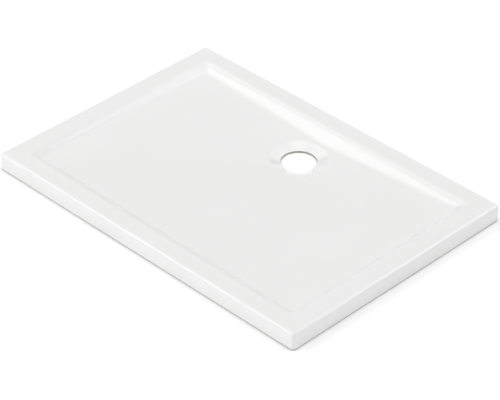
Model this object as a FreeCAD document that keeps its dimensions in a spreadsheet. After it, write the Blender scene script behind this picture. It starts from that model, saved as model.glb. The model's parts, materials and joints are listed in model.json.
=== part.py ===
import FreeCAD, Part
import math
import os

import Sketcher
from FreeCAD import Placement, Rotation, Vector

# A low rectangular shower tray, 1000 x 700 x 45 mm, shown with nothing fitted to its waste hole.
# A thin acrylic sheet gives the rim, the skirt, the falling floor and the recess round the
# waste hole. Under it are a glass-fibre backing, four rim battens, three base boards each
# sealed in by its own laminate, a collar that carries the recess, and three tapered bearers
# that carry the boards on the floor of the room.
#
# Frame: the origin is the centre of the tray's footprint, on the floor it stands on. X runs
# along the long side, Y across to the back, where the waste hole is, and Z is up.

os.makedirs("parts", exist_ok=True)
doc = FreeCAD.newDocument("shower_tray")

# ------------------------------------------------------------------ driving sizes
# Millimetres and degrees. Depths are measured down from the flat top of the rim, heights up
# from the floor of the room.

SIZES = (
    ("tray_length", 1000),          # overall, along X
    ("tray_width", 700),            # overall, along Y
    ("tray_height", 45),            # floor of the room to the top of the rim
    ("corner_radius", 10),          # upright outer corners, seen from above
    ("edge_radius", 8),             # outer edge between the rim and the skirt
    ("sheet_thickness", 3),         # acrylic
    ("backing_thickness", 2),       # glass fibre sprayed under the acrylic
    ("rim_width", 56),              # outer side to where the rim and the basin wall would meet
    ("rim_roll_radius", 28),        # soft roll from the rim into the basin wall
    ("wall_slope", 44),             # basin wall, from level
    ("basin_corner_radius", 18),    # between two basin walls
    ("front_depth", 11),            # foot of the front wall
    ("back_corner_depth", 16),      # foot of the wall in the two back corners
    ("back_middle_depth", 28),      # foot of the back wall behind the waste hole
    ("drain_bore", 90),             # waste hole, diameter
    ("drain_rim_height", 5),        # upper edge of the waste hole
    ("recess_diameter", 146),       # outer edge of the dished recess round the hole
    ("recess_depth", 12.8),         # recess edge down to the hole's edge
    ("recess_from_back", 94),       # recess edge to the back side of the tray
    ("backing_skirt_height", 4),    # where the backing stops inside the skirt
    ("backing_floor_gap", 0.5),     # under the backing at the waste hole
    ("batten_inset", 8.5),          # outer side of the tray to a batten
    ("batten_width", 36),
    ("batten_thickness", 24),
    ("board_thickness", 9),
    ("board_wall_margin", 20),      # foot of a basin wall to the board's edge
    ("board_joint_gap", 12),        # between neighbouring boards, at the change of fall
    ("laminate_thickness", 1.5),    # skin that seals a board in
    ("collar_margin", 11),          # ring under the recess, out beyond the recess edge
    ("collar_setback", 7),          # the ring's bore, back from the edge of the waste hole
    ("collar_clearance", 1.5),      # ring to the laminates and bearers round it
    ("bearer_width", 30),
    ("bearer_spacing", 300),        # centre to centre
    ("bearer_setback", 92),         # outer side of the tray to a bearer's end
)

sheet = doc.addObject("Spreadsheet::Sheet", "sizes")
for row, (name, value) in enumerate(SIZES, start=1):
    sheet.set(f"A{row}", name)
    sheet.set(f"B{row}", str(value))
    sheet.setAlias(f"B{row}", name)
doc.recompute()


def size(name):
    """The value of one driving size, read from the sheet."""
    return float(sheet.get(name))


LENGTH = size("tray_length")
WIDTH = size("tray_width")
HEIGHT = size("tray_height")
SHEET = size("sheet_thickness")
BACKING = SHEET + size("backing_thickness")
BOARD = BACKING + size("board_thickness")
LAMINATE = BOARD + size("laminate_thickness")

# Far enough to pass every side of the tray, for tools that cut right through it.
REACH = 3 * max(LENGTH, WIDTH)
# How far a tool stands above the rim, and the least height of an upright corner.
CLEAR = 10.0
# Two heights nearer than this are the same, and two slopes nearer than the second value.
SAME_HEIGHT = 0.01
SAME_SLOPE = 1e-6


# ------------------------------------------------------------------ bound primitives
def bind(feature, **formulas):
    """Tie properties of a feature to formulas on the sheet; x, y and z are its place."""
    for name, formula in formulas.items():
        path = f".Placement.Base.{name}" if name in ("x", "y", "z") else name
        feature.setExpression(path, formula)
    return feature


def bound_box(name, length, width, height, x, y, z):
    """A box with all of its sizes and its low corner tied to the sheet."""
    box = doc.addObject("Part::Box", name)
    return bind(box, Length=length, Width=width, Height=height, x=x, y=y, z=z)


DRAIN_Y = "sizes.tray_width / 2 - sizes.recess_from_back - sizes.recess_diameter / 2"
COLLAR_DIAMETER = "sizes.recess_diameter + 2 * sizes.collar_margin"
COLLAR_BORE = "sizes.drain_bore + 2 * sizes.collar_setback"


def drain_cylinder(name, diameter, height, z):
    """An upright cylinder on the waste hole's axis."""
    cylinder = doc.addObject("Part::Cylinder", name)
    return bind(cylinder, Radius=f"({diameter}) / 2", Height=height, y=DRAIN_Y, z=z)


def cut(name, base, tool):
    result = doc.addObject("Part::Cut", name)
    result.Base = base
    result.Tool = tool
    return result


def common(name, first, second):
    result = doc.addObject("Part::Common", name)
    result.Base = first
    result.Tool = second
    return result


def fixed_shape(name, shape):
    """A feature for a skew shape that no bound primitive gives."""
    feature = doc.addObject("Part::Feature", name)
    feature.Shape = shape
    feature.Placement = Placement()
    return feature


# ------------------------------------------------------------------ outer block
def origin_plane(body, role):
    return next(item for item in body.Origin.OriginFeatures if item.Role == role)


def closed_rectangle(sketch, length, width):
    """A rectangle centred on the sketch's origin, its two sizes tied to the sheet."""
    half_length, half_width = LENGTH / 2, WIDTH / 2
    corners = [
        Vector(-half_length, -half_width, 0),
        Vector(half_length, -half_width, 0),
        Vector(half_length, half_width, 0),
        Vector(-half_length, half_width, 0),
    ]
    for start, end in zip(corners, corners[1:] + corners[:1]):
        sketch.addGeometry(Part.LineSegment(start, end), False)
    for side in range(4):
        sketch.addConstraint(Sketcher.Constraint("Coincident", side, 2, (side + 1) % 4, 1))
    for side, direction in enumerate(("Horizontal", "Vertical", "Horizontal", "Vertical")):
        sketch.addConstraint(Sketcher.Constraint(direction, side))
    sketch.addConstraint(Sketcher.Constraint("Symmetric", 0, 1, 1, 2, -1, 1))
    for label, side, start, value in (("length", 0, "DistanceX", 2 * half_length),
                                      ("width", 1, "DistanceY", 2 * half_width)):
        index = sketch.addConstraint(Sketcher.Constraint(start, side, 1, side, 2, value))
        sketch.renameConstraint(index, label)
    sketch.setExpression("Constraints.length", length)
    sketch.setExpression("Constraints.width", width)


def edge_names(shape, wanted):
    return [f"Edge{number}" for number, edge in enumerate(shape.Edges, start=1) if wanted(edge)]


def outer_block(name, inset):
    """The tray's outer block, drawn in by an inset on its sides and its top.

    Its upright corners and its upper edge are rounded, each by its own radius less the inset,
    so that blocks with different insets are parallel to one another."""
    body = doc.addObject("PartDesign::Body", name)
    sketch = body.newObject("Sketcher::SketchObject", name + "_plan")
    sketch.AttachmentSupport = [(origin_plane(body, "XY_Plane"), "")]
    sketch.MapMode = "FlatFace"
    closed_rectangle(sketch, f"sizes.tray_length - 2 * ({inset})", f"sizes.tray_width - 2 * ({inset})")
    pad = body.newObject("PartDesign::Pad", name + "_height")
    pad.Profile = sketch
    pad.setExpression("Length", f"sizes.tray_height - ({inset})")
    doc.recompute()

    corners = body.newObject("PartDesign::Fillet", name + "_corners")
    upright = edge_names(pad.Shape, lambda edge: edge.BoundBox.ZLength > CLEAR)
    corners.Base = (pad, upright)
    corners.setExpression("Radius", f"sizes.corner_radius - ({inset})")
    doc.recompute()

    top = corners.Shape.BoundBox.ZMax
    edges = body.newObject("PartDesign::Fillet", name + "_edge")
    upper = edge_names(corners.Shape, lambda edge: edge.BoundBox.ZMin > top - SAME_HEIGHT)
    edges.Base = (corners, upper)
    edges.setExpression("Radius", f"sizes.edge_radius - ({inset})")
    body.Tip = edges
    doc.recompute()
    return body


# ------------------------------------------------------------------ basin
# The space above the floor and between the walls is bounded by planes only: four walls and
# five falls that all lead to the waste hole. The same planes moved down by a thickness bound
# each layer under the sheet.

SLOPE = math.radians(size("wall_slope"))
DRAIN_RADIUS = size("drain_bore") / 2
RECESS_RADIUS = size("recess_diameter") / 2
DRAIN = Vector(0, WIDTH / 2 - size("recess_from_back") - RECESS_RADIUS, 0)
RECESS_EDGE = size("drain_rim_height") + size("recess_depth")
RECESS_SLOPE = math.atan2(size("recess_depth"), RECESS_RADIUS - DRAIN_RADIUS)


def wall_foot(depth):
    """Distance from the tray's side to the basin wall at a depth below the rim."""
    return size("rim_width") + depth / math.tan(SLOPE)


def foot_point(side_x, side_y, depth):
    """A point of the line where the basin walls meet the floor, in a corner or at mid length."""
    run = wall_foot(depth)
    return Vector(side_x * (LENGTH / 2 - run), side_y * (WIDTH / 2 - run), HEIGHT - depth)


def recess_point(x, y):
    """A point of the recess edge, in a direction from the waste hole's axis."""
    return Vector(RECESS_RADIUS * x, DRAIN.y + RECESS_RADIUS * y, RECESS_EDGE)


def plane_through(first, second, third):
    """A plane as one of its points and its upward normal."""
    normal = (second - first).cross(third - first).normalize()
    return (first, normal if normal.z > 0 else normal * -1)


FRONT_LEFT = foot_point(-1, -1, size("front_depth"))
FRONT_RIGHT = foot_point(1, -1, size("front_depth"))
BACK_LEFT = foot_point(-1, 1, size("back_corner_depth"))
BACK_RIGHT = foot_point(1, 1, size("back_corner_depth"))
BACK_MIDDLE = foot_point(0, 1, size("back_middle_depth"))

FALLS = {
    "front": plane_through(FRONT_LEFT, FRONT_RIGHT, recess_point(0, -1)),
    "left": plane_through(FRONT_LEFT, BACK_LEFT, recess_point(-1, 0)),
    "right": plane_through(FRONT_RIGHT, BACK_RIGHT, recess_point(1, 0)),
    "back_left": plane_through(BACK_LEFT, BACK_MIDDLE, recess_point(-1, 0)),
    "back_right": plane_through(BACK_RIGHT, BACK_MIDDLE, recess_point(1, 0)),
}


def wall_plane(side_x, side_y):
    """A basin wall, from the line where it would meet the rim."""
    x = side_x * (LENGTH / 2 - size("rim_width"))
    y = side_y * (WIDTH / 2 - size("rim_width"))
    inward = Vector(-side_x, -side_y, 0) * math.sin(SLOPE)
    return (Vector(x, y, HEIGHT), inward + Vector(0, 0, math.cos(SLOPE)))


WALLS = [wall_plane(-1, 0), wall_plane(1, 0), wall_plane(0, -1), wall_plane(0, 1)]


def ground_below(plane, depth):
    """Everything below a plane that has been moved down by a depth, as a large block."""
    point, normal = plane
    block = Part.makeBox(REACH, REACH, REACH, Vector(-REACH / 2, -REACH / 2, -REACH))
    block.Placement = Placement(point - normal * depth, Rotation(Vector(0, 0, 1), normal))
    return block


def basin_space(depth, corner_radius=None):
    """The space inside walls and falls that are all moved outwards by a depth."""
    space = Part.makeBox(LENGTH, WIDTH, HEIGHT + CLEAR, Vector(-LENGTH / 2, -WIDTH / 2, 0))
    for plane in WALLS + list(FALLS.values()):
        space = space.cut(ground_below(plane, depth))
    if corner_radius is None:
        return space

    def between_walls(edge):
        faces = space.ancestorsOfType(edge, Part.Face)
        slopes = [face.normalAt(0, 0).z + math.cos(SLOPE) for face in faces]
        return all(abs(slope) < SAME_SLOPE for slope in slopes)

    return space.makeFillet(corner_radius, [edge for edge in space.Edges if between_walls(edge)])


def meets_fall(tip, fall, x, y, depth):
    """Height at which the recess cone, followed outwards one way, comes through a lowered fall."""
    origin, normal = FALLS[fall]
    base = origin - normal * depth
    at_axis = base.z - (normal.x * (DRAIN.x - base.x) + normal.y * (DRAIN.y - base.y)) / normal.z
    rise = -(normal.x * x + normal.y * y) / normal.z
    radius = (at_axis - tip) / (math.tan(RECESS_SLOPE) - rise)
    return at_axis + rise * radius


def recess_space(depth):
    """The cone of the waste recess, moved down and outwards by a depth.

    It ends a little above the highest place where it comes through the floor."""
    drop = depth / math.cos(RECESS_SLOPE)
    tip = size("drain_rim_height") - drop - DRAIN_RADIUS * math.tan(RECESS_SLOPE)
    ways_out = (("front", 0, -1), ("left", -1, 0), ("right", 1, 0), ("back_left", 0, 1))
    top = max(meets_fall(tip, fall, x, y, depth) for fall, x, y in ways_out) + SHEET
    return Part.makeCone(0, (top - tip) / math.tan(RECESS_SLOPE), top - tip,
                         Vector(DRAIN.x, DRAIN.y, tip))


def tray_form(name, block, depth):
    """The tray as one solid whose upper side is the sheet's upper side moved down by a depth."""
    form = block.Shape.cut(basin_space(depth, size("basin_corner_radius") + depth))
    rim_top = HEIGHT - depth
    inner_x = LENGTH / 2 - size("rim_width") / 2
    inner_y = WIDTH / 2 - size("rim_width") / 2

    def basin_edge(edge):
        box = edge.BoundBox
        inside = max(-box.XMin, box.XMax) < inner_x and max(-box.YMin, box.YMax) < inner_y
        return inside and box.ZMin > rim_top - SAME_HEIGHT

    form = form.makeFillet(size("rim_roll_radius") - depth, [e for e in form.Edges if basin_edge(e)])
    return fixed_shape(name, form.cut(recess_space(depth)))


sheet_block = outer_block("sheet_block", "0")
backing_block = outer_block("backing_block", "sizes.sheet_thickness")
cavity_block = outer_block("cavity_block", "sizes.sheet_thickness + sizes.backing_thickness")

sheet_form = tray_form("sheet_form", sheet_block, 0)
backing_form = tray_form("backing_form", backing_block, SHEET)
cavity_form = tray_form("cavity_form", cavity_block, BACKING)

# ------------------------------------------------------------------ acrylic shell
waste_hole = drain_cylinder("waste_hole", "sizes.drain_bore", "sizes.tray_height", "0")

sheet_layer = cut("sheet_layer", sheet_form, backing_form)
acrylic_shell = cut("acrylic_shell", sheet_layer, waste_hole)

# ------------------------------------------------------------------ glass-fibre backing
# It stops short of the skirt's lower edge, and is ground flat round the waste hole so that
# the skirt and the collar, and not the backing, meet the floor of the room.
backing_layer = cut("backing_layer", backing_form, cavity_form)

trim_outside = bound_box(
    "trim_outside", "sizes.tray_length", "sizes.tray_width", "sizes.backing_skirt_height",
    "-sizes.tray_length / 2", "-sizes.tray_width / 2", "0")
trim_inside = bound_box(
    "trim_inside", "sizes.tray_length - 2 * sizes.rim_width", "sizes.tray_width - 2 * sizes.rim_width",
    "sizes.backing_skirt_height",
    "-sizes.tray_length / 2 + sizes.rim_width", "-sizes.tray_width / 2 + sizes.rim_width", "0")
skirt_trim = cut("skirt_trim", trim_outside, trim_inside)
trimmed_backing = cut("trimmed_backing", backing_layer, skirt_trim)

waste_hole_underside = drain_cylinder(
    "waste_hole_underside", "sizes.recess_diameter", "sizes.backing_floor_gap", "0")
levelled_backing = cut("levelled_backing", trimmed_backing, waste_hole_underside)
glass_fibre_backing = cut("glass_fibre_backing", levelled_backing, waste_hole)

# ------------------------------------------------------------------ rim battens
# The front and back battens run the whole length; the side battens fit between them.
BATTEN_Z = "sizes.tray_height - sizes.sheet_thickness - sizes.backing_thickness - sizes.batten_thickness"
LONG_BATTEN = "sizes.tray_length - 2 * sizes.batten_inset"
SHORT_BATTEN = "sizes.tray_width - 2 * sizes.batten_inset - 2 * sizes.batten_width"
LOW_X = "-sizes.tray_length / 2 + sizes.batten_inset"
LOW_Y = "-sizes.tray_width / 2 + sizes.batten_inset"

front_rim_batten = bound_box(
    "front_rim_batten", LONG_BATTEN, "sizes.batten_width", "sizes.batten_thickness",
    LOW_X, LOW_Y, BATTEN_Z)
back_rim_batten = bound_box(
    "back_rim_batten", LONG_BATTEN, "sizes.batten_width", "sizes.batten_thickness",
    LOW_X, "sizes.tray_width / 2 - sizes.batten_inset - sizes.batten_width", BATTEN_Z)
left_rim_batten = bound_box(
    "left_rim_batten", "sizes.batten_width", SHORT_BATTEN, "sizes.batten_thickness",
    LOW_X, LOW_Y + " + sizes.batten_width", BATTEN_Z)
right_rim_batten = bound_box(
    "right_rim_batten", "sizes.batten_width", SHORT_BATTEN, "sizes.batten_thickness",
    "sizes.tray_length / 2 - sizes.batten_inset - sizes.batten_width",
    LOW_Y + " + sizes.batten_width", BATTEN_Z)


# ------------------------------------------------------------------ base boards
# Each of the three long falls has its own flat board, glued under the backing. In plan a
# board is the fall's triangle: a wall foot and the two lines where the fall changes.
def plan_line(start, end, inside):
    """A line in plan as one of its points and its unit normal towards a point inside."""
    along = Vector(end.x - start.x, end.y - start.y, 0)
    normal = Vector(-along.y, along.x, 0).normalize()
    towards = Vector(inside.x - start.x, inside.y - start.y, 0)
    return (start, normal if normal.dot(towards) > 0 else normal * -1)


def change_of_fall(first, second, corner):
    """A second point of the line in which two falls meet, next to the corner where it starts."""
    direction = FALLS[first][1].cross(FALLS[second][1])
    return corner + direction * (RECESS_RADIUS / direction.Length)


def meeting_point(first, second):
    """Where two lines in plan cross."""
    (p, n), (q, k) = first, second
    determinant = n.x * k.y - n.y * k.x
    a = n.x * p.x + n.y * p.y
    b = k.x * q.x + k.y * q.y
    return Vector((a * k.y - b * n.y) / determinant, (b * n.x - a * k.x) / determinant, 0)


def on_fall(fall, point, depth):
    """The point of a lowered fall that lies straight above or below a point in plan."""
    origin, normal = FALLS[fall]
    base = origin - normal * depth
    z = base.z - (normal.x * (point.x - base.x) + normal.y * (point.y - base.y)) / normal.z
    return Vector(point.x, point.y, z)


BOARD_OUTLINES = {
    "front": ((FRONT_LEFT, FRONT_RIGHT),
              (FRONT_LEFT, change_of_fall("front", "left", FRONT_LEFT)),
              (FRONT_RIGHT, change_of_fall("front", "right", FRONT_RIGHT))),
    "left": ((FRONT_LEFT, BACK_LEFT),
             (FRONT_LEFT, change_of_fall("front", "left", FRONT_LEFT)),
             (BACK_LEFT, change_of_fall("left", "back_left", BACK_LEFT))),
    "right": ((FRONT_RIGHT, BACK_RIGHT),
              (FRONT_RIGHT, change_of_fall("front", "right", FRONT_RIGHT)),
              (BACK_RIGHT, change_of_fall("right", "back_right", BACK_RIGHT))),
}


def fall_slab(fall, top, bottom, growth):
    """A flat slab under one fall, between two depths, its outline let out by a growth.

    It ends level with the waste hole's axis, where the change-of-fall lines may not have met."""
    wall, first_change, second_change = BOARD_OUTLINES[fall]
    inside = (wall[0] + wall[1] + recess_point(0, 0)) * (1 / 3)
    margins = (size("board_wall_margin"), size("board_joint_gap") / 2, size("board_joint_gap") / 2)
    lines = []
    for (start, end), margin in zip((wall, first_change, second_change), margins):
        point, normal = plan_line(start, end, inside)
        lines.append((point + normal * (margin - growth), normal))
    corners = [meeting_point(lines[i], lines[(i + 1) % 3]) for i in range(3)]
    outline = [on_fall(fall, corner, bottom) for corner in corners]
    face = Part.Face(Part.makePolygon(outline + outline[:1]))
    slab = face.extrude(FALLS[fall][1] * (bottom - top))
    towards_wall = lines[0][1] * -1
    return slab.cut(ground_below((DRAIN, towards_wall), 0))


laminate_cutout = drain_cylinder(
    "laminate_cutout", COLLAR_DIAMETER + " + 2 * sizes.collar_clearance",
    "2 * sizes.tray_height", "-sizes.tray_height")
board_cutout = drain_cylinder(
    "board_cutout",
    COLLAR_DIAMETER + " + 2 * sizes.collar_clearance + 2 * sizes.laminate_thickness",
    "2 * sizes.tray_height", "-sizes.tray_height")

base_boards = {}
board_laminates = {}
for fall in BOARD_OUTLINES:
    board_slab = fixed_shape(fall + "_board_slab", fall_slab(fall, BACKING, BOARD, 0))
    base_boards[fall] = cut(fall + "_base_board", board_slab, board_cutout)
    laminate_slab = fixed_shape(
        fall + "_laminate_slab",
        fall_slab(fall, BACKING, LAMINATE, size("laminate_thickness")))
    laminate_block = cut(fall + "_laminate_block", laminate_slab, laminate_cutout)
    board_laminates[fall] = cut(fall + "_board_laminate", laminate_block, base_boards[fall])

# ------------------------------------------------------------------ drain collar
# A cast ring under the recess, so that the edge of the waste hole bears on the floor.
collar_outside = drain_cylinder("collar_outside", COLLAR_DIAMETER, "sizes.tray_height", "0")
collar_inside = drain_cylinder("collar_inside", COLLAR_BORE, "sizes.tray_height", "0")
collar_ring = cut("collar_ring", collar_outside, collar_inside)
drain_collar = common("drain_collar", collar_ring, cavity_form)

# ------------------------------------------------------------------ floor bearers
# Battens laid on the floor of the room from front to back, planed to the falls above them.
bearer_block = doc.addObject("Part::Box", "bearer_block")
bind(bearer_block, Length="sizes.tray_length", Width="sizes.tray_width", Height="sizes.tray_height",
     x="-sizes.tray_length / 2", y="-sizes.tray_width / 2")
bearer_space = cut("bearer_space", bearer_block, fixed_shape("bearer_basin", basin_space(LAMINATE)))

FULL_BEARER = "sizes.tray_width - 2 * sizes.bearer_setback"
CENTRE_BEARER = (f"sizes.tray_width / 2 + ({DRAIN_Y}) - ({COLLAR_DIAMETER}) / 2"
                 " - sizes.collar_clearance - sizes.bearer_setback")
BEARERS = (
    ("left_floor_bearer", "-sizes.bearer_spacing", FULL_BEARER),
    ("centre_floor_bearer", "0", CENTRE_BEARER),
    ("right_floor_bearer", "sizes.bearer_spacing", FULL_BEARER),
)
floor_bearers = []
for name, centre, length in BEARERS:
    blank = bound_box(
        name + "_blank", "sizes.bearer_width", length, "sizes.tray_height",
        f"{centre} - sizes.bearer_width / 2", "-sizes.tray_width / 2 + sizes.bearer_setback", "0")
    floor_bearers.append(common(name, blank, bearer_space))

# ------------------------------------------------------------------ check and export
SUB_PARTS = [
    acrylic_shell,
    glass_fibre_backing,
    front_rim_batten,
    back_rim_batten,
    left_rim_batten,
    right_rim_batten,
    *base_boards.values(),
    *board_laminates.values(),
    drain_collar,
    *floor_bearers,
]
doc.recompute()

for feature in doc.Objects:
    if "Invalid" in feature.State or "Error" in feature.State:
        raise RuntimeError(f"{feature.Label} did not compute: {feature.State}")

for part in SUB_PARTS:
    part.Label = part.Name
    if part.Shape.isNull() or not part.Shape.isValid() or not part.Shape.Solids:
        raise RuntimeError(f"{part.Label} has no valid solid")

for part in SUB_PARTS:
    part.Shape.exportStep(f"parts/{part.Label}.step")
    box = part.Shape.BoundBox
    print(f"{part.Label}: {len(part.Shape.Solids)} solid, {part.Shape.Volume / 1000:.1f} cm3, "
          f"z {box.ZMin:.2f} to {box.ZMax:.2f}")
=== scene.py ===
# %% [markdown]
# # A low acrylic shower tray
# The object is a white tray, 1000 x 700 x 45 mm, formed from one sheet of glossy acrylic: a skirt,
# a flat rim, sloping basin walls and a floor that falls to a dished recess with a waste hole.
# Under the sheet are the hidden pieces that carry it. Their CAD solids have the right shape, so
# they keep it and only get a finish. The sheet itself is remade here, because its looks come from
# soft transitions that a faceted CAD mesh doesn't show: a cove at the foot of each wall, an eased
# change of fall, a small lip at the hole, a rounded foot under the skirt.

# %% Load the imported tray
import json
import math

import bpy
import numpy as np
from mathutils import Matrix, Vector


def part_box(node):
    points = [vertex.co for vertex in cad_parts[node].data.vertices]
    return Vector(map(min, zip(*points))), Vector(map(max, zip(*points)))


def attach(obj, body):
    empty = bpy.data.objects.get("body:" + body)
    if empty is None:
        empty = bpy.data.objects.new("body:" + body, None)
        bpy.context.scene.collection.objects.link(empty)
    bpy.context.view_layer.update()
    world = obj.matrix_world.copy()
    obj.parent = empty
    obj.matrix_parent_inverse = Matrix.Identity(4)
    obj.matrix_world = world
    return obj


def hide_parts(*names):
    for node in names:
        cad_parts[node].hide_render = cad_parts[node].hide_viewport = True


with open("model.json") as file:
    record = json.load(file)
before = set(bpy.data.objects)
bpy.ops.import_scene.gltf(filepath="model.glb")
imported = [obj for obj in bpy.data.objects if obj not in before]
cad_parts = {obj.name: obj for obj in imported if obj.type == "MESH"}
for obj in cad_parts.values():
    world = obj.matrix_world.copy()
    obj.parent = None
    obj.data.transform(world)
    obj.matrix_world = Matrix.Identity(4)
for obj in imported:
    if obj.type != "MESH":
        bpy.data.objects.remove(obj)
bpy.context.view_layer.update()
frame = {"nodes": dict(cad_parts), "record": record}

# %% [markdown]
# ## Sizes
# The outside of the tray and the waste hole are read from the frame, so this file can't disagree
# with it. The rest are the maker's own sizes for the sheet, the same ones that the CAD was drawn
# from. They are written in millimetres and turned into metres, Blender's unit, in one place.

# %% Driving sizes
MM = 0.001

_, shell_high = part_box("acrylic_shell")
HALF_LENGTH, HALF_WIDTH, HEIGHT = shell_high.x, shell_high.y, shell_high.z
waste_hole = next(m for m in frame["record"]["mounts"] if m["name"] == "waste_hole")
DRAIN_X, DRAIN_Y = waste_hole["pos_m"][:2]
HOLE_RADIUS = waste_hole["dims"]["r_mm"] * MM

SHEET = 3 * MM                    # thickness of the acrylic
CORNER_RADIUS = 10 * MM           # upright outer corners, seen from above
EDGE_RADIUS = 8 * MM              # between the skirt and the rim
RIM_WIDTH = 56 * MM               # outer side to where the rim and the wall would meet
ROLL_RADIUS = 28 * MM             # from the rim into the wall
WALL_SLOPE = math.radians(44)     # from level
FRONT_DEPTH = 11 * MM             # foot of the front wall, below the rim
BACK_CORNER_DEPTH = 16 * MM       # foot of the wall in the two back corners
BACK_MIDDLE_DEPTH = 28 * MM       # foot of the back wall behind the waste hole
HOLE_EDGE_HEIGHT = 5 * MM         # edge of the waste hole, above the floor of the room
RECESS_RADIUS = 73 * MM           # dished recess round the waste hole, seen from above
RECESS_DEPTH = 12.8 * MM          # recess edge down to the hole's edge

print("tray in mm: %.1f x %.1f x %.1f" % (
    2 * HALF_LENGTH / MM, 2 * HALF_WIDTH / MM, HEIGHT / MM))
print("waste hole at", (DRAIN_X, DRAIN_Y), "radius", HOLE_RADIUS)

# %% [markdown]
# ## The camera
# The view is a long lens from the front right, looking down. Its angles, its distance and the
# point it looks at were found by fitting a pinhole camera to the outline of the tray. A long lens
# far away keeps the two long sides almost parallel, which is how such product views look.

# %% Camera
CAMERA_AZIMUTH = math.radians(45.097)
CAMERA_ELEVATION = math.radians(35.581)
CAMERA_DISTANCE = 5.8619
CAMERA_AIM = (0.010022, -0.014715)     # sideways and upwards in the view, from the origin
SENSOR_WIDTH = 36.0
FOCAL_PIXELS = 2434.62                 # in a picture 500 pixels wide
PICTURE_WIDTH = 500


def view_axes(azimuth, elevation):
    """Unit vectors to the right, upwards and back towards a camera at two angles.

    Back is the direction on a sphere with those angles; right is level; up completes them."""
    back = Vector((math.sin(azimuth) * math.cos(elevation),
                   -math.cos(azimuth) * math.cos(elevation),
                   math.sin(elevation)))
    right = Vector((math.cos(azimuth), math.sin(azimuth), 0))
    return right, back.cross(right), back


right, up, back = view_axes(CAMERA_AZIMUTH, CAMERA_ELEVATION)
lens = bpy.data.cameras.new("product_view")
lens.sensor_width = SENSOR_WIDTH
lens.lens = FOCAL_PIXELS / PICTURE_WIDTH * SENSOR_WIDTH
lens.clip_end = 50                     # metres
camera = bpy.data.objects.new("product_view", lens)
camera.location = right * CAMERA_AIM[0] + up * CAMERA_AIM[1] + back * CAMERA_DISTANCE
camera.rotation_mode = "QUATERNION"
camera.rotation_quaternion = Matrix((right, up, back)).transposed().to_quaternion()
bpy.context.scene.collection.objects.link(camera)
bpy.context.scene.camera = camera
print("camera at", [round(value, 3) for value in camera.location], "lens", round(lens.lens, 1))

# %% [markdown]
# ## The sheet's upper side as one formula
# A formed sheet has no undercuts, so between the rim and the hole it can be written as a height
# over each point of the plan. Every part of it is a plane or a cone: four walls, five falls and
# the recess. A basin keeps the highest of its planes at each point, and a recess the lowest. If
# the switch from one to the next is eased over a small difference in height, the sharp line
# becomes the fillet that a sheet takes when it is drawn over a mould.

# %% Eased corners between two surfaces
def soft_max(first, second, reach):
    """The larger of two heights, eased where they differ by less than a reach.

    With a gap g between them, (reach - |g|) squared over four times the reach is added to the
    larger one, and nothing where the gap is wider than the reach."""
    overlap = np.clip(reach - np.abs(first - second), 0, None)
    return np.maximum(first, second) + overlap ** 2 / (4 * reach)


def soft_min(first, second, reach):
    """The smaller of two heights, eased in the same way."""
    return -soft_max(-first, -second, reach)


CORNER_REACH = 16.4 * MM     # between two basin walls: a corner of about 14 mm radius in plan
COVE_REACH = 6.0 * MM        # foot of a wall
CREASE_REACH = 0.9 * MM      # change of fall, which is only 2 or 3 degrees
RECESS_REACH = 0.9 * MM      # edge of the recess
print("eased: 1 and 1 give", soft_max(np.array(1.0), np.array(1.0), 1.0))

# %% [markdown]
# ### Falls of the floor
# The floor is five planes that all lead to the waste: front, left, right, and two narrow ones
# behind the hole. Each passes through the foot of a wall at two points and the recess's edge at
# one, which is how a mould maker would set them out.

# %% Falls
def foot(side_x, side_y, depth):
    """Where two basin walls meet the floor, in a corner or, with 0 for a side, at mid length."""
    inset = RIM_WIDTH + depth / math.tan(WALL_SLOPE)
    return (side_x * (HALF_LENGTH - inset), side_y * (HALF_WIDTH - inset), HEIGHT - depth)


def recess_point(x, y):
    """A point of the recess's edge, in a direction from the waste hole's axis."""
    return (DRAIN_X + RECESS_RADIUS * x, DRAIN_Y + RECESS_RADIUS * y,
            HOLE_EDGE_HEIGHT + RECESS_DEPTH)


def plane(*points):
    """Coefficients a, b, c of the plane z = a x + b y + c through three points."""
    points = np.array(points)
    return np.linalg.solve(np.c_[points[:, :2], np.ones(3)], points[:, 2])


FRONT_LEFT, FRONT_RIGHT = foot(-1, -1, FRONT_DEPTH), foot(1, -1, FRONT_DEPTH)
BACK_LEFT, BACK_RIGHT = foot(-1, 1, BACK_CORNER_DEPTH), foot(1, 1, BACK_CORNER_DEPTH)
BACK_MIDDLE = foot(0, 1, BACK_MIDDLE_DEPTH)

FALLS = [
    plane(FRONT_LEFT, FRONT_RIGHT, recess_point(0, -1)),
    plane(FRONT_LEFT, BACK_LEFT, recess_point(-1, 0)),
    plane(FRONT_RIGHT, BACK_RIGHT, recess_point(1, 0)),
    plane(BACK_LEFT, BACK_MIDDLE, recess_point(-1, 0)),
    plane(BACK_RIGHT, BACK_MIDDLE, recess_point(1, 0)),
]
for a, b, c in FALLS:
    print("fall of %.1f %% towards the waste" % (100 * math.hypot(a, b)))

RECESS_RISE = RECESS_DEPTH / (RECESS_RADIUS - HOLE_RADIUS)
RECESS_SLOPE = math.atan(RECESS_RISE)
print("recess slope %.1f degrees" % math.degrees(RECESS_SLOPE))


def floor_height(x, y):
    """The highest of the falls at each point, eased at their creases, with the recess let in."""
    a, b, c = FALLS[0]
    height = a * x + b * y + c
    for a, b, c in FALLS[1:]:
        height = soft_max(height, a * x + b * y + c, CREASE_REACH)
    distance = np.hypot(x - DRAIN_X, y - DRAIN_Y)
    cone = HOLE_EDGE_HEIGHT + (distance - HOLE_RADIUS) * RECESS_RISE
    return soft_min(height, cone, RECESS_REACH)


# %% [markdown]
# ### Rim, roll and walls
# The roll from the rim into a wall is a true arc, tangent to both. It is written as a function of
# the height that the bare wall plane would have, so it runs round the basin's corners by itself.

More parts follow.
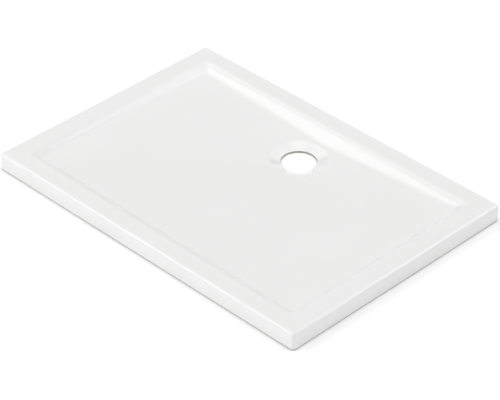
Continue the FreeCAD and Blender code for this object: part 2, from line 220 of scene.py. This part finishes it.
# %% Rim and walls
WALL_RISE = math.tan(WALL_SLOPE)
ROLL_TANGENT = ROLL_RADIUS * math.tan(WALL_SLOPE / 2)     # start of the roll to the corner
ROLL_RUN = ROLL_RADIUS * math.sin(WALL_SLOPE)             # start of the roll to its end


def rolled(wall):
    """Height of rim, roll and wall, from the height of the bare wall plane.

    s is how far a point lies inside the start of the roll. Before it the rim is flat, then the
    height drops by R - sqrt(R^2 - s^2) until the arc has the wall's slope, then it is the wall."""
    s = (HEIGHT - wall) / WALL_RISE + ROLL_TANGENT
    s_on_arc = np.clip(s, 0, ROLL_RUN)
    arc = HEIGHT - ROLL_RADIUS + np.sqrt(ROLL_RADIUS ** 2 - s_on_arc ** 2)
    return np.where(s < ROLL_RUN, arc, wall)


def top_height(x, y):
    """Height of the sheet's upper side between the rim's outer edge and the hole."""
    wall_x = HEIGHT - (HALF_LENGTH - np.abs(x) - RIM_WIDTH) * WALL_RISE
    wall_y = HEIGHT - (HALF_WIDTH - np.abs(y) - RIM_WIDTH) * WALL_RISE
    walls = rolled(soft_max(wall_x, wall_y, CORNER_REACH))
    return soft_max(walls, floor_height(x, y), COVE_REACH)


def top_normal(x, y, step=0.02 * MM):
    """Unit normals of the upper side, from height differences over a small step each way."""
    slope_x = (top_height(x + step, y) - top_height(x - step, y)) / (2 * step)
    slope_y = (top_height(x, y + step) - top_height(x, y - step)) / (2 * step)
    normal = np.stack([-slope_x, -slope_y, np.ones_like(slope_x)], axis=-1)
    return normal / np.linalg.norm(normal, axis=-1, keepdims=True)


print("rim %.1f mm wide and flat" % ((RIM_WIDTH - ROLL_TANGENT - EDGE_RADIUS) / MM))
print("floor in front of the recess at %.1f mm" % (
    top_height(np.array(DRAIN_X), np.array(DRAIN_Y - RECESS_RADIUS - 5 * MM)) / MM))

# %% [markdown]
# ## A grid that goes round the tray
# A sheet with one hole is a ring, so its mesh can be a grid: u goes round, v goes across, from
# the foot of the skirt over the rim and down to the hole, and back along the underside. Near the
# sides the grid lines have to follow a rectangle, at the hole a circle. The rectangle is a small
# circle carried round a smaller rectangle, which works at any distance from the side.

# %% Steps round the tray
LONG_STEPS, SHORT_STEPS, CORNER_STEPS = 172, 120, 14


def round_the_rectangle():
    """Three arrays over u: which way the small circle's centre lies, and its angle.

    The centre moves from corner to corner of a square from -1 to 1 while the angle stands
    still, and stands still in a corner while the angle makes a quarter turn."""
    corners = np.array([(-1, -1), (1, -1), (1, 1), (-1, 1)], float)
    centres, angles = [], []
    for side, steps in enumerate((LONG_STEPS, SHORT_STEPS, LONG_STEPS, SHORT_STEPS)):
        start, end = corners[side], corners[(side + 1) % 4]
        share = np.arange(steps)[:, None] / steps
        centres.append(start + (end - start) * share)
        angles.append(np.full(steps, (side - 1) * math.pi / 2))
        centres.append(np.repeat(end[None], CORNER_STEPS, axis=0))
        turn = np.arange(CORNER_STEPS) / CORNER_STEPS
        angles.append((side - 1 + turn) * math.pi / 2)
    centres = np.concatenate(centres)
    return centres[:, 0], centres[:, 1], np.concatenate(angles)


CENTRE_X, CENTRE_Y, ANGLE = round_the_rectangle()
print("steps round the tray:", len(ANGLE))

# %% [markdown]
# ### Lines at a distance from the side
# The corner's radius changes with the distance: it is true to the skirt and its edge, then opens
# to the basin's own corners and stays so. Past the walls, the rounded rectangles turn into circles
# round the hole, each point on the bearing that it has on the last rectangle.

# %% Lines at a distance from the side
BASIN_CORNER = 14 * MM
ROLL_START = RIM_WIDTH - ROLL_TANGENT
RADIUS_AT = np.array([0, EDGE_RADIUS, ROLL_START])
RADIUS_IS = np.array([CORNER_RADIUS, CORNER_RADIUS - EDGE_RADIUS, BASIN_CORNER])


def line_inside(distance):
    """Plan of grid lines at one or more distances from the side: rounded rectangles.

    x is the centre's x times (half length - distance - radius), plus radius times cos angle."""
    distance = np.atleast_1d(distance)[:, None]
    radius = np.interp(distance, RADIUS_AT, RADIUS_IS)
    x = CENTRE_X * (HALF_LENGTH - distance - radius) + radius * np.cos(ANGLE)
    y = CENTRE_Y * (HALF_WIDTH - distance - radius) + radius * np.sin(ANGLE)
    return x, y


WALL_END = 89 * MM                     # past the foot of every wall
WALL_END_X, WALL_END_Y = line_inside(WALL_END)
BEARING = np.arctan2(WALL_END_Y - DRAIN_Y, WALL_END_X - DRAIN_X)


def line_round_hole(radius):
    """Plan of grid lines at one or more radii: circles, in step with the lines outside them."""
    radius = np.atleast_1d(radius)[:, None]
    return DRAIN_X + radius * np.cos(BEARING), DRAIN_Y + radius * np.sin(BEARING)


def between(first, second, shares):
    """Grid lines that turn from one line into another by a share of the way."""
    shares = np.atleast_1d(shares)[:, None]
    return [a + (b - a) * shares for a, b in zip(first, second)]


RECESS_START = 74.8 * MM               # first circle, just outside the recess
print("the wall lines end %.0f mm in, the circles start at %.1f mm" % (
    WALL_END / MM, RECESS_START / MM))

# %% [markdown]
# ### Across the sheet
# The lines lie close together where the sheet bends and far apart where it is flat. All the
# lines over the basin take their height from the formula. The skirt, its edge and the lip of the
# hole stand too steep for a height, so their lines are given by a distance and a height each.

# %% Lines of the upper side
def with_height(plan):
    """Points of the upper side over the plan of some lines."""
    x, y = plan
    return np.stack([x, y, top_height(x, y)], axis=-1)


def at_heights(plan, heights):
    """Points over the plan of some lines, each line at its own height."""
    x, y = plan
    z = np.broadcast_to(np.atleast_1d(heights)[:, None], x.shape)
    return np.stack([x, y, z], axis=-1)


FOOT_RADIUS = 2.2 * MM                 # the sawn foot of the skirt, sanded round
FOOT_STEPS, EDGE_STEPS, ROLL_STEPS, WALL_STEPS, FLOOR_STEPS = 5, 13, 13, 18, 26
SKIRT_HEIGHTS = np.array([4, 14, 24, 33]) * MM
quarter = np.linspace(0, math.pi / 2, FOOT_STEPS)
foot_lines = at_heights(line_inside(FOOT_RADIUS * (1 - np.sin(quarter))),
                        FOOT_RADIUS * (1 - np.cos(quarter)))
skirt_lines = at_heights(line_inside(np.zeros(len(SKIRT_HEIGHTS))), SKIRT_HEIGHTS)
quarter = np.linspace(0, math.pi / 2, EDGE_STEPS)
edge_lines = at_heights(line_inside(EDGE_RADIUS * (1 - np.cos(quarter))),
                        HEIGHT - EDGE_RADIUS * (1 - np.sin(quarter)))

RIM_LINES = np.array([8.6, 10, 16, 24, 32, 38, 42]) * MM
ROLL_LINES = np.linspace(ROLL_START, ROLL_START + ROLL_RUN, ROLL_STEPS)
WALL_START = ROLL_START + ROLL_RUN + 1.3 * MM     # one step past the end of the roll
WALL_LINES = np.linspace(WALL_START, WALL_END, WALL_STEPS)
basin_lines = with_height(line_inside(np.concatenate([RIM_LINES, ROLL_LINES, WALL_LINES])))

floor_lines = with_height(between(line_inside(WALL_END), line_round_hole(RECESS_START),
                                  np.arange(1, FLOOR_STEPS) / FLOOR_STEPS))
RECESS_LINES = np.array([RECESS_START / MM, 74.2, 73.6, 73, 72.4, 71.6, 70.4, 68.5,
                         65, 61, 57, 53, 50.5]) * MM
recess_lines = with_height(line_round_hole(RECESS_LINES))
print("lines over basin, floor and recess:", len(basin_lines), len(floor_lines), len(recess_lines))

# %% [markdown]
# ### The lip of the waste hole
# The hole is cut through the formed sheet and its edge is eased by hand, so a small arc turns
# from the recess's slope down into the cut. It is tangent to both, like the roll at the rim.

# %% Lip and cut edge
LIP_RADIUS = 0.9 * MM
LIP_STEPS = 8
lip_turn = math.pi / 2 - RECESS_SLOPE
lip_angle = np.linspace(lip_turn, 0, LIP_STEPS)
LIP_CENTRE_RADIUS = HOLE_RADIUS + LIP_RADIUS
LIP_CENTRE_HEIGHT = HOLE_EDGE_HEIGHT - LIP_RADIUS * math.tan(lip_turn / 2)
lip_lines = at_heights(line_round_hole(LIP_CENTRE_RADIUS - LIP_RADIUS * np.cos(lip_angle)),
                       LIP_CENTRE_HEIGHT + LIP_RADIUS * np.sin(lip_angle))
CUT_FOOT = HOLE_EDGE_HEIGHT - SHEET / math.cos(RECESS_SLOPE)
cut_lines = at_heights(line_round_hole(np.full(2, HOLE_RADIUS)),
                       [(LIP_CENTRE_HEIGHT + CUT_FOOT) / 2, CUT_FOOT])
print("the cut edge ends %.2f mm above the floor of the room" % (CUT_FOOT / MM))

# %% [markdown]
# ### The underside
# The sheet is 3 mm thick everywhere, so its underside is the upper side moved in along its own
# normals. Fewer lines do, because the backing hides it: every second or third line is enough.

# %% Lines of the underside
def under(plan):
    """Points of the underside: the upper side's points less the thickness times their normals."""
    x, y = plan
    return with_height(plan) - SHEET * top_normal(x, y)


under_recess = under(line_round_hole(RECESS_LINES[::-2]))
under_floor = under(between(line_round_hole(RECESS_START), line_inside(WALL_END),
                            np.arange(3, FLOOR_STEPS - 1, 3) / FLOOR_STEPS))
under_wall = under(line_inside(WALL_LINES[::-2]))
under_roll = under(line_inside(np.concatenate([ROLL_LINES[::-3], RIM_LINES[1::2][::-1]])))
UNDER_EDGE_STEPS = 6
INNER_RADIUS = EDGE_RADIUS - SHEET
quarter = np.linspace(math.pi / 2, 0, UNDER_EDGE_STEPS)
under_edge = at_heights(line_inside(SHEET + INNER_RADIUS * (1 - np.cos(quarter))),
                        HEIGHT - SHEET - INNER_RADIUS * (1 - np.sin(quarter)))
UNDER_SKIRT_HEIGHTS = np.array([20 * MM, FOOT_RADIUS, 0])
under_skirt = at_heights(line_inside(np.full(len(UNDER_SKIRT_HEIGHTS), SHEET)),
                         UNDER_SKIRT_HEIGHTS)

lines = [foot_lines, skirt_lines, edge_lines, basin_lines, floor_lines, recess_lines, lip_lines,
         cut_lines, under_recess, under_floor, under_wall, under_roll, under_edge, under_skirt]
grid = np.concatenate(lines)
print("grid lines across:", len(grid), "points round:", grid.shape[1])


# %% [markdown]
# ### From the grid to a mesh
# The last line joins the first one and each line joins its own start, so the mesh has no open
# edge. Its volume can then be worked out from the points alone. It is positive when all faces look
# outwards, and it should come near the CAD sheet's 2525 cubic centimetres.

# %% Make the shell
def grid_volume(points):
    """Volume inside a grid that wraps both ways.

    Each square is split into two triangles, and each triangle adds a sixth of the triple
    product of its three corners."""
    next_round = np.roll(points, -1, axis=1)
    next_across = np.roll(points, -1, axis=0)
    next_both = np.roll(next_round, -1, axis=0)
    first = points * np.cross(next_round, next_both)
    second = points * np.cross(next_both, next_across)
    return (first + second).sum() / 6


def ring_mesh(name, points):
    """A closed mesh from a grid that wraps both ways: lines across and points round.

    Each face takes a point, the next one round, and the same two on the next line."""
    across, round_ = points.shape[:2]
    index = np.arange(across * round_).reshape(across, round_)
    next_round = np.roll(index, -1, axis=1)
    next_across = np.roll(index, -1, axis=0)
    next_both = np.roll(next_round, -1, axis=0)
    faces = np.stack([index, next_round, next_both, next_across], axis=-1).reshape(-1, 4)
    mesh = bpy.data.meshes.new(name)
    mesh.vertices.add(across * round_)
    mesh.vertices.foreach_set("co", points.reshape(-1))
    mesh.loops.add(faces.size)
    mesh.loops.foreach_set("vertex_index", faces.reshape(-1))
    mesh.polygons.add(len(faces))
    mesh.polygons.foreach_set("loop_start", np.arange(0, faces.size, 4))
    mesh.polygons.foreach_set("use_smooth", np.ones(len(faces), bool))
    mesh.update(calc_edges=True)
    mesh.validate()
    return mesh


shell = bpy.data.objects.new("acrylic_sheet_shell", ring_mesh("acrylic_sheet_shell", grid))
bpy.context.scene.collection.objects.link(shell)
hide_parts("acrylic_shell")
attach(shell, "root")
print("shell faces:", len(shell.data.polygons))
print("volume of the sheet in cubic centimetres: %.0f" % (grid_volume(grid) * 1e6))

# %% [markdown]
# ## Finishes
# Each finish is a small node tree on Object coordinates, which are metres from the tray's own
# origin, so a grain or a strand has its real size. A few helpers keep the trees short.

# %% Node helpers
def new_finish(name):
    """A new material, its node tree and its main shader."""
    material = bpy.data.materials.new(name)
    material.use_nodes = True
    shader = next(n for n in material.node_tree.nodes if n.type == "BSDF_PRINCIPLED")
    return material, material.node_tree, shader


def node(tree, kind, inputs=None, **settings):
    """A node with some settings and some input values or links."""
    made = tree.nodes.new(kind)
    for key, value in settings.items():
        setattr(made, key, value)
    for key, value in (inputs or {}).items():
        if isinstance(value, bpy.types.NodeSocket):
            tree.links.new(value, made.inputs[key])
        else:
            made.inputs[key].default_value = value
    return made


def placed(tree, scale=(1, 1, 1), turn=(0, 0, 0)):
    """Object coordinates, stretched and then turned."""
    place = node(tree, "ShaderNodeTexCoord").outputs["Object"]
    return node(tree, "ShaderNodeMapping", {"Vector": place, "Rotation": turn,
                                            "Scale": scale}).outputs["Vector"]


def noise(tree, vector, scale, detail=2.0, roughness=0.5, distortion=0.0):
    """Soft noise between 0 and 1; a scale of 100 has patches of about 10 mm."""
    return node(tree, "ShaderNodeTexNoise", {
        "Vector": vector, "Scale": scale, "Detail": detail, "Roughness": roughness,
        "Distortion": distortion}).outputs["Fac"]


def spread(tree, value, low, high, to_low=0.0, to_high=1.0):
    """A value carried from one range to another, and held at its ends."""
    return node(tree, "ShaderNodeMapRange", {
        "Value": value, "From Min": low, "From Max": high, "To Min": to_low,
        "To Max": to_high}).outputs["Result"]


def colours(tree, value, *stops):
    """A colour from a value, by stops of position and colour."""
    ramp = node(tree, "ShaderNodeValToRGB", {"Fac": value})
    elements = ramp.color_ramp.elements
    while len(elements) < len(stops):
        elements.new(0.5)
    for element, (position, colour) in zip(elements, stops):
        element.position = position
        element.color = (*colour, 1)
    return ramp.outputs["Color"]


def bump(tree, height, depth, normal=None):
    """A normal that follows a height map between 0 and 1, which is a depth in metres high."""
    inputs = {"Height": height, "Distance": depth, "Strength": 1.0}
    if normal is not None:
        inputs["Normal"] = normal
    return node(tree, "ShaderNodeBump", inputs).outputs["Normal"]


print("helpers:", [helper.__name__ for helper in (
    new_finish, node, placed, noise, spread, colours, bump)])

# %% [markdown]
# ### Glossy acrylic
# Sanitary acrylic is dyed right through and has a mirror-like skin, a little warm. What keeps it
# from looking like plastic film is that a formed sheet is never quite flat: it keeps waves a
# hand wide and a few hundredths of a millimetre deep, and handling leaves the gloss uneven.
# Where the sheet is sawn, at the foot of the skirt and round the hole, it is matt, and a dark grey
# is painted there as shade, which draws the thin dark lines there. Two masks find these places:
# the distance from the hole's axis, and the height above the floor of the room.

# %% Acrylic
HOLE_EDGE_SHADE_RING = (0.3 * MM, 0.9 * MM)       # outside the hole's radius: full painted shade and matt, none
FOOT_SHADE_BAND = (2.6 * MM, 3.6 * MM)       # above the floor of the room: the same
acrylic, tree, shader = new_finish("white_sanitary_acrylic")
place = placed(tree)
drift = noise(tree, place, 5.0, detail=3)
polished = colours(tree, drift, (0.3, (0.848, 0.846, 0.842)), (0.7, (0.860, 0.859, 0.856)))
plan_place = placed(tree, scale=(1, 1, 0))
from_hole = node(tree, "ShaderNodeVectorMath", {0: plan_place, 1: (DRAIN_X, DRAIN_Y, 0)},
                 operation="DISTANCE").outputs["Value"]
above_floor = node(tree, "ShaderNodeSeparateXYZ", {"Vector": place}).outputs["Z"]
# painted shade: these masks put a dark grey and a matt gloss at the foot and at the hole's edge
hole_edge_shade = spread(tree, from_hole, HOLE_RADIUS + HOLE_EDGE_SHADE_RING[0], HOLE_RADIUS + HOLE_EDGE_SHADE_RING[1], 1.0, 0.0)
foot_shade = spread(tree, above_floor, *FOOT_SHADE_BAND, 1.0, 0.0)
matt_and_painted_shade = node(tree, "ShaderNodeMath", {0: hole_edge_shade, 1: foot_shade}, operation="MAXIMUM").outputs[0]
painted_shade_streaks = noise(tree, placed(tree, scale=(300, 300, 3000)), 1.0, detail=2)
# painted shade: a streaked dark grey in place of the white acrylic, drawing the thin dark lines
painted_shade_colour = colours(tree, painted_shade_streaks, (0.3, (0.25, 0.25, 0.24)), (0.7, (0.36, 0.36, 0.35)))
colour = node(tree, "ShaderNodeMixRGB", {"Fac": matt_and_painted_shade, "Color1": polished, "Color2": painted_shade_colour})
tree.links.new(colour.outputs["Color"], shader.inputs["Base Color"])
handling = spread(tree, noise(tree, place, 28.0, detail=4, roughness=0.6), 0.3, 0.7, 0.10, 0.16)
tree.links.new(spread(tree, matt_and_painted_shade, 0.0, 1.0, handling, 0.6), shader.inputs["Roughness"])
waves = bump(tree, noise(tree, place, 7.0, detail=1), 0.03 * MM)
tree.links.new(waves, shader.inputs["Normal"])
shader.inputs["IOR"].default_value = 1.49
shell.data.materials.append(acrylic)
print("nodes in the acrylic:", len(tree.nodes))

# %% [markdown]
# ### Glass fibre
# The backing is sprayed: chopped strands of glass, 30 to 50 mm long, lie in all directions in
# polyester resin and are rolled flat. Noise that is stretched twenty-five times along one direction
# makes streaks like strands; several of them, each turned another way, make the mat.

# %% Glass-fibre backing and board laminate
STRAND_LENGTH, STRAND_WIDTH = 40 * MM, 1.6 * MM
STREAK = (0.52, 0.66)                  # noise below the first is resin, above the second strand


def strands(tree, turns, length, width):
    """The highest of several streaky noises, one for each turn, as a map of strands.

    Each has its coordinates moved and turned first, so that no two streaky noises are the same,
    and then divided by a strand's length and width."""
    result = None
    place = node(tree, "ShaderNodeTexCoord").outputs["Object"]
    for number, turn in enumerate(turns):
        vector = node(tree, "ShaderNodeMapping", {
            "Vector": place, "Location": (number * 3.1, number * 1.7, 0), "Rotation": (0, 0, turn),
            "Scale": (length, width, length)}, vector_type="TEXTURE").outputs["Vector"]
        streak = spread(tree, noise(tree, vector, 1.0, detail=1), *STREAK)
        if result is None:
            result = streak
        else:
            result = node(tree, "ShaderNodeMath", {0: result, 1: streak},
                          operation="MAXIMUM").outputs[0]
    return result


def fibre_finish(name, resin, strand, turns):
    """Glass strands in resin: a colour for each, strands standing a little proud."""
    material, tree, shader = new_finish(name)
    mat = strands(tree, turns, STRAND_LENGTH, STRAND_WIDTH)
    lumps = noise(tree, placed(tree), 60.0, detail=3)
    shade = node(tree, "ShaderNodeMath", {0: mat, 1: spread(tree, lumps, 0.3, 0.7, 0.6, 1.0)},
                 operation="MULTIPLY").outputs[0]
    tree.links.new(colours(tree, shade, (0.0, resin), (1.0, strand)), shader.inputs["Base Color"])
    tree.links.new(spread(tree, mat, 0.0, 1.0, 0.28, 0.5), shader.inputs["Roughness"])
    relief = bump(tree, mat, 0.35 * MM, bump(tree, lumps, 1.0 * MM))
    tree.links.new(relief, shader.inputs["Normal"])
    shader.inputs["IOR"].default_value = 1.55
    return material


backing_finish = fibre_finish("sprayed_glass_fibre", (0.52, 0.50, 0.38), (0.74, 0.73, 0.62),
                              np.radians([8, 47, 81, 118, 152]))
laminate_finish = fibre_finish("rolled_board_laminate", (0.56, 0.52, 0.36), (0.72, 0.70, 0.56),
                               np.radians([22, 64, 99, 139, 171]))
print("nodes in the backing:", len(backing_finish.node_tree.nodes))

# %% [markdown]
# ### Softwood
# Softwood shows growth rings as long bands along the strip, with fine fibres in them. The bands are
# one slow noise, stretched along the strip and folded back and forth, so that it rises and falls
# several times. The fibres are a much finer noise, stretched in the same direction.

# %% Softwood
RING_FOLDS = 9.0                       # how often the slow noise is folded


def softwood(name, along, pale, dark, turn):
    """Sawn softwood whose grain runs along X or Y, a little askew by a turn."""
    material, tree, shader = new_finish(name)
    stretch = (1, 14, 14) if along == "X" else (14, 1, 14)
    place = placed(tree, scale=stretch, turn=turn)
    rings = noise(tree, place, 3.2, detail=3, distortion=0.6)
    bands = node(tree, "ShaderNodeMath", {0: rings, 1: RING_FOLDS}, operation="MULTIPLY").outputs[0]
    bands = node(tree, "ShaderNodeMath", {0: bands, 1: 1.0}, operation="PINGPONG").outputs[0]
    fibre_stretch = (8, 700, 700) if along == "X" else (700, 8, 700)
    fibres = noise(tree, placed(tree, scale=fibre_stretch), 1.0, detail=3)
    tone = node(tree, "ShaderNodeMath", {0: fibres, 1: 0.35}, operation="MULTIPLY").outputs[0]
    tone = node(tree, "ShaderNodeMath", {0: bands, 1: tone}, operation="ADD").outputs[0]
    tree.links.new(colours(tree, tone, (0.15, pale), (0.9, dark)), shader.inputs["Base Color"])
    tree.links.new(spread(tree, fibres, 0.3, 0.7, 0.55, 0.8), shader.inputs["Roughness"])
    tree.links.new(bump(tree, fibres, 0.25 * MM), shader.inputs["Normal"])
    return material


BATTEN_PALE, BATTEN_DARK = (0.62, 0.44, 0.25), (0.42, 0.25, 0.11)
BEARER_PALE, BEARER_DARK = (0.66, 0.50, 0.30), (0.48, 0.31, 0.15)
batten_along_x = softwood("sawn_batten_lengthways", "X", BATTEN_PALE, BATTEN_DARK, (0.02, 0, 0.01))
batten_along_y = softwood("sawn_batten_crossways", "Y", BATTEN_PALE, BATTEN_DARK, (0, 0.02, 0.01))
bearer_wood = softwood("planed_bearer_wood", "Y", BEARER_PALE, BEARER_DARK, (0, 0.03, -0.01))
print("nodes in the bearers' wood:", len(bearer_wood.node_tree.nodes))

# %% [markdown]
# ### Chipboard
# Chipboard is flat flakes pressed together. A cell pattern with a random brightness for each cell
# suits it, on coordinates that keep the cells longer along X.

# %% Chipboard
chipboard, tree, shader = new_finish("raw_chipboard")
flakes = node(tree, "ShaderNodeTexVoronoi", {"Vector": placed(tree, scale=(1, 2.2, 2.2)),
                                             "Scale": 260.0})
tone = node(tree, "ShaderNodeSeparateColor", {"Color": flakes.outputs["Color"]}).outputs["Red"]
tree.links.new(colours(tree, tone, (0.0, (0.33, 0.21, 0.11)), (0.5, (0.52, 0.36, 0.20)),
                       (1.0, (0.68, 0.52, 0.33))), shader.inputs["Base Color"])
shader.inputs["Roughness"].default_value = 0.82
tree.links.new(bump(tree, flakes.outputs["Distance"], 0.3 * MM), shader.inputs["Normal"])
print("nodes in the chipboard:", len(tree.nodes))

# %% [markdown]
# ### Cast resin
# The collar is poured from filled resin: grey, dull, speckled by its filler, with pinholes where
# air came to the surface.

# %% Collar resin
collar_resin, tree, shader = new_finish("filled_casting_resin")
place = placed(tree)
cloud = noise(tree, place, 45.0, detail=4)
speck = spread(tree, noise(tree, place, 900.0, detail=1), 0.62, 0.72)
tree.links.new(colours(tree, cloud, (0.3, (0.46, 0.46, 0.42)), (0.7, (0.56, 0.56, 0.51))),
               shader.inputs["Base Color"])
tree.links.new(spread(tree, cloud, 0.3, 0.7, 0.5, 0.7), shader.inputs["Roughness"])
tree.links.new(bump(tree, speck, -0.3 * MM), shader.inputs["Normal"])
print("nodes in the resin:", len(tree.nodes))

# %% [markdown]
# ### The hidden pieces
# They are seen only from below. Their CAD meshes are neither moved nor changed: each one just gets
# its material in every slot that it has.

# %% Give the CAD nodes their finishes
FINISHES = {
    "glass_fibre_backing": backing_finish,
    "front_rim_batten": batten_along_x,
    "back_rim_batten": batten_along_x,
    "left_rim_batten": batten_along_y,
    "right_rim_batten": batten_along_y,
    "front_base_board": chipboard,
    "left_base_board": chipboard,
    "right_base_board": chipboard,
    "front_board_laminate": laminate_finish,
    "left_board_laminate": laminate_finish,
    "right_board_laminate": laminate_finish,
    "drain_collar": collar_resin,
    "left_floor_bearer": bearer_wood,
    "centre_floor_bearer": bearer_wood,
    "right_floor_bearer": bearer_wood,
}
for name, material in FINISHES.items():
    mesh = frame["nodes"][name].data
    if not mesh.materials:
        mesh.materials.append(material)
    for slot_number in range(len(mesh.materials)):
        mesh.materials[slot_number] = material
print("finished nodes:", len(FINISHES))

# %% [markdown]
# ## Studio
# A white object on a white ground is drawn by its shadows only, so the ground has to be a little
# brighter than the tray. It is a plain matt plane. A weak glow of its own keeps it white in the
# tray's soft shadow, as in a picture that was cut out.

# %% Ground
GROUND_REACH = 40.0                    # metres from the origin, each way
GROUND_GLOW = 0.145
ground_mesh = bpy.data.meshes.new("ground")
ground_mesh.from_pydata([(x * GROUND_REACH, y * GROUND_REACH, 0) for x, y in
                         ((-1, -1), (1, -1), (1, 1), (-1, 1))], [], [(0, 1, 2, 3)])
ground = bpy.data.objects.new("ground", ground_mesh)
bpy.context.scene.collection.objects.link(ground)
ground_finish, tree, shader = new_finish("white_ground")
shader.inputs["Base Color"].default_value = (0.9, 0.9, 0.9, 1)
shader.inputs["Roughness"].default_value = 0.9
shader.inputs["Specular IOR Level"].default_value = 0.0
shader.inputs["Emission Color"].default_value = (1, 1, 1, 1)
shader.inputs["Emission Strength"].default_value = GROUND_GLOW
ground_mesh.materials.append(ground_finish)
print("ground of %.0f m, staged" % (2 * GROUND_REACH))

# %% [markdown]
# ### Lights
# The light is broad: large square lamps, ten metres away, and an almost dark world. Glossy acrylic
# shows a lamp where a surface mirrors it. The key at the front left is seen in the wall at the
# back, which makes its bright band. The ones at the back and the right are seen in the left wall
# and light the two outer sides, and the rest keep the floor and the rims near one brightness.

# %% Lights
WORLD_STRENGTH = 0.02
LAMP_DISTANCE, LAMP_SIZE = 10.0, 6.0   # metres
LAMPS = {                              # azimuth and elevation in degrees, power in watts
    "key_front_left": (-40, 38, 494),
    "overhead": (0, 89, 240),
    "left": (-95, 48, 175),
    "low_front_right": (40, 12, 314),
    "back_right": (140, 38, 330),
    "high_back": (150, 62, 110),
    "back": (180, 38, 150),
    "low_back_left": (-135, 12, 51),
}
world = bpy.data.worlds.new("studio")
bpy.context.scene.world = world
world.use_nodes = True
background = next(n for n in world.node_tree.nodes if n.type == "BACKGROUND")
background.inputs["Color"].default_value = (1, 1, 1, 1)
background.inputs["Strength"].default_value = WORLD_STRENGTH


def soft_light(name, azimuth, elevation, power):
    """A square lamp at two angles as seen from the tray, facing it."""
    _, _, towards = view_axes(math.radians(azimuth), math.radians(elevation))
    lamp = bpy.data.lights.new(name, "AREA")
    lamp.shape = "SQUARE"
    lamp.size = LAMP_SIZE
    lamp.energy = power
    holder = bpy.data.objects.new(name, lamp)
    holder.location = towards * LAMP_DISTANCE
    holder.rotation_mode = "QUATERNION"
    holder.rotation_quaternion = towards.to_track_quat("Z", "Y")
    bpy.context.scene.collection.objects.link(holder)


for name, (azimuth, elevation, power) in LAMPS.items():
    soft_light(name, azimuth, elevation, power)
bpy.context.scene.view_settings.view_transform = "Standard"
bpy.context.scene.view_settings.look = "None"
print("lamps:", len(LAMPS), "together", sum(power for _, _, power in LAMPS.values()), "W")
